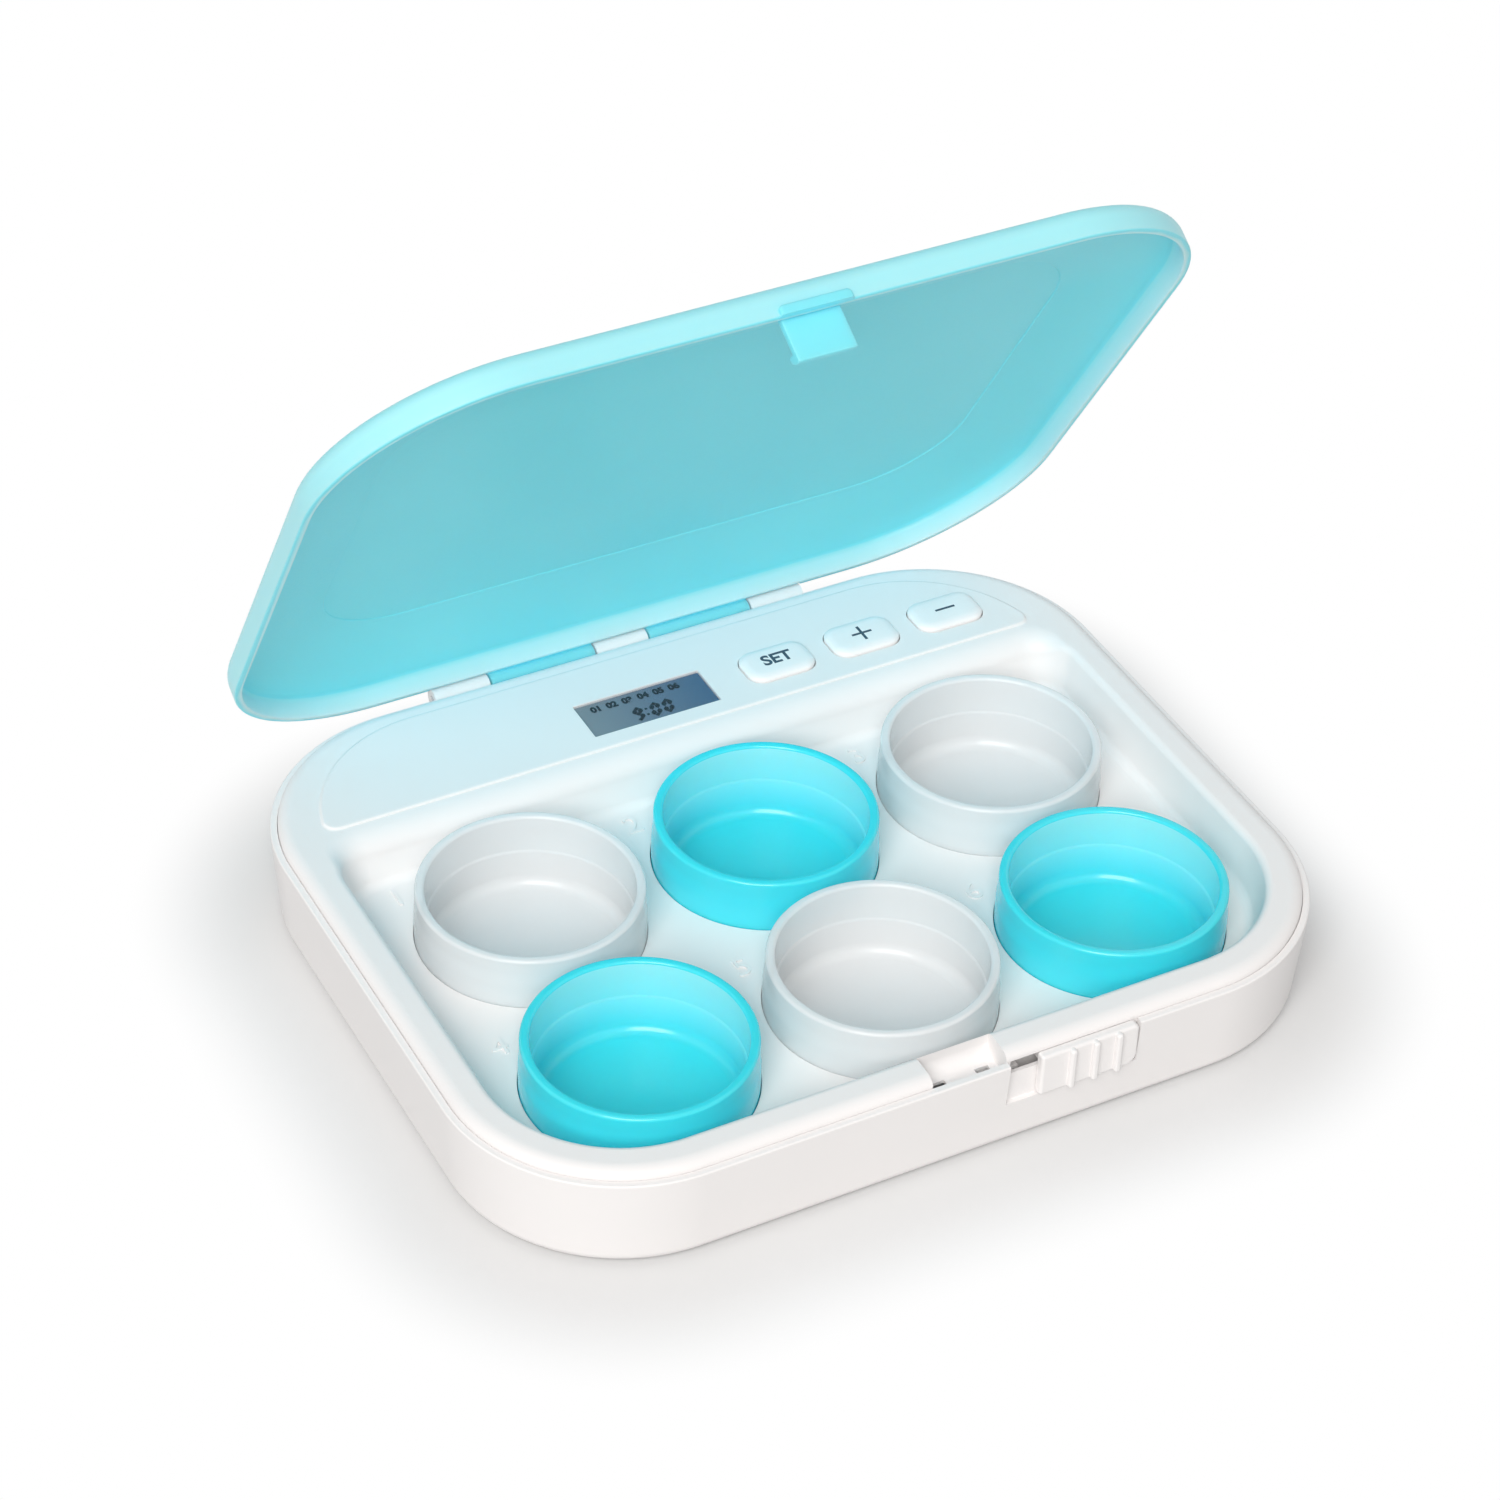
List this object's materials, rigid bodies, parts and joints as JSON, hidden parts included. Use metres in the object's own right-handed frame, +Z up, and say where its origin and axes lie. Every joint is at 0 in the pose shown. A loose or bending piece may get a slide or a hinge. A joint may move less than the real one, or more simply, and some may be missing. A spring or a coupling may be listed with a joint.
{
  "type": "electronic pill box",
  "caption": "Electronic pill box: hinged lid, lift-out round cups in a recessed tray, timer display with buttons, latch slider and battery door.",
  "frame": {"origin": "centre of the case's flat underside", "axes": "+Z up out of the tray, +Y from the latch towards the hinge, +X along the hinge to the buttons' side"},
  "size_m": [0.163, 0.1382, 0.1339],
  "materials": {
    "white_plastic": "satin white moulded plastic",
    "aqua_plastic": "satin aqua moulded plastic",
    "blue_plastic": "glossy translucent blue",
    "clear_plastic": "milky translucent",
    "button_plastic": "fine matt",
    "steel": "bright nickel-plated",
    "cell_sleeve": "printed sleeve on a steel can",
    "board": "green solder mask",
    "black_plastic": "black moulded",
    "lens": "clear acrylic window",
    "display_glass": "display glass with a grey-blue field",
    "rubber": "soft grey rubber"
  },
  "bodies": {
    "case": {"bottom_case": "white_plastic", "deck": "white_plastic", "hinge_pin": "steel", "battery_1": "cell_sleeve", "battery_2": "cell_sleeve", "contact_link": "steel", "contact_positive": "steel", "contact_negative": "steel", "circuit_board": "board", "chip_blob": "black_plastic", "crystal": "steel", "buzzer": "black_plastic", "lcd_lens": "lens", "lcd_glass": "display_glass", "lcd_holder": "black_plastic", "zebra_strip": "rubber", "key_membrane": "rubber", "case_screw_1": "steel", "case_screw_2": "steel", "case_screw_3": "steel", "case_screw_4": "steel", "board_screw_1": "steel", "board_screw_2": "steel", "board_screw_3": "steel", "foot_1": "rubber", "foot_2": "rubber", "foot_3": "rubber", "foot_4": "rubber"},
    "lid": {"lid": "aqua_plastic"},
    "latch_slider": {"latch_slider": "white_plastic"},
    "battery_door": {"battery_door": "white_plastic"},
    "button_set": {"button_set": "button_plastic"},
    "button_plus": {"button_plus": "button_plastic"},
    "button_minus": {"button_minus": "button_plastic"},
    "cup_1": {"cup_1": "clear_plastic"},
    "cup_2": {"cup_2": "blue_plastic"},
    "cup_3": {"cup_3": "clear_plastic"},
    "cup_4": {"cup_4": "blue_plastic"},
    "cup_5": {"cup_5": "clear_plastic"},
    "cup_6": {"cup_6": "blue_plastic"}
  },
  "joints": [
    {"name": "lid_hinge", "type": "hinge", "parent": "case", "child": "lid", "pos_m": [0, 0.0668, 0.0176], "axis": [-1, 0, 0], "range_deg": [-58.5, 60]},
    {"name": "latch_slide", "type": "slide", "parent": "case", "child": "latch_slider", "axis": [-1, 0, 0], "range_m": [0, 0.0055]},
    {"name": "battery_door_slide", "type": "slide", "parent": "case", "child": "battery_door", "axis": [0, 1, 0], "range_m": [0, 0.048]},
    {"name": "button_set_press", "type": "slide", "parent": "case", "child": "button_set", "axis": [0, 0, -1], "range_m": [0, 0.0008], "stiffness_N_per_m": 1200},
    {"name": "button_plus_press", "type": "slide", "parent": "case", "child": "button_plus", "axis": [0, 0, -1], "range_m": [0, 0.0008], "stiffness_N_per_m": 1200},
    {"name": "button_minus_press", "type": "slide", "parent": "case", "child": "button_minus", "axis": [0, 0, -1], "range_m": [0, 0.0008], "stiffness_N_per_m": 1200},
    {"name": "cup_1_lift", "type": "slide", "parent": "case", "child": "cup_1", "axis": [0, 0, 1], "range_m": [0, 0.028]},
    {"name": "cup_2_lift", "type": "slide", "parent": "case", "child": "cup_2", "axis": [0, 0, 1], "range_m": [0, 0.028]},
    {"name": "cup_3_lift", "type": "slide", "parent": "case", "child": "cup_3", "axis": [0, 0, 1], "range_m": [0, 0.028]},
    {"name": "cup_4_lift", "type": "slide", "parent": "case", "child": "cup_4", "axis": [0, 0, 1], "range_m": [0, 0.028]},
    {"name": "cup_5_lift", "type": "slide", "parent": "case", "child": "cup_5", "axis": [0, 0, 1], "range_m": [0, 0.028]},
    {"name": "cup_6_lift", "type": "slide", "parent": "case", "child": "cup_6", "axis": [0, 0, 1], "range_m": [0, 0.028]}
  ]
}
